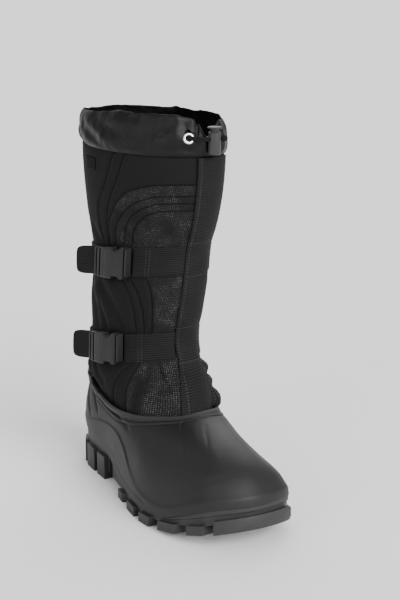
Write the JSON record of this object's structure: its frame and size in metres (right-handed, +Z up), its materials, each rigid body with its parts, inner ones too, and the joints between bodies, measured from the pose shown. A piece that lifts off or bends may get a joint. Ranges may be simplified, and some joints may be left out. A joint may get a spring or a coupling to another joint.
{
  "type": "winter boot",
  "caption": "Tall right winter boot: moulded rubber shell and lugged sole, padded fabric shaft with side-release buckle straps, and a gathered snow collar with a cord lock.",
  "frame": {"origin": "middle of the bounding box, on the floor under the sole", "axes": "+Z up, the toe towards -Y, the foot's outer side towards -X"},
  "size_m": [0.1362, 0.3182, 0.374],
  "materials": {
    "outsole_rubber": "satin moulded rubber",
    "shell_rubber": "satin moulded rubber with a fine grain",
    "insole_felt": "matte felt",
    "shaft_fabric": "matte woven nylon",
    "webbing": "matte ribbed webbing",
    "buckle_plastic": "satin moulded plastic",
    "snow_collar_nylon": "thin nylon with a soft sheen",
    "eyelet_metal": "bright plated metal",
    "cord": "matte braided cord",
    "lock_plastic": "satin moulded plastic"
  },
  "bodies": {
    "boot": {"outsole": "outsole_rubber", "shell": "shell_rubber", "insole": "insole_felt", "shaft": "shaft_fabric", "front_tape": "webbing", "strap_lower_front": "webbing", "strap_lower_rear": "webbing", "strap_lower_tail": "webbing", "buckle_lower_socket": "buckle_plastic", "buckle_lower_prong": "buckle_plastic", "strap_upper_front": "webbing", "strap_upper_rear": "webbing", "strap_upper_tail": "webbing", "buckle_upper_socket": "buckle_plastic", "buckle_upper_prong": "buckle_plastic", "snow_collar": "snow_collar_nylon", "eyelet": "eyelet_metal", "drawcord": "cord", "lock_barrel": "lock_plastic", "cord_knot": "cord"},
    "lock_button": {"lock_button": "lock_plastic"}
  },
  "joints": [
    {"name": "lock_button_press", "type": "slide", "parent": "boot", "child": "lock_button", "axis": [0, 0, 1], "range_m": [-0.0025, 0], "stiffness_N_per_m": 300}
  ]
}
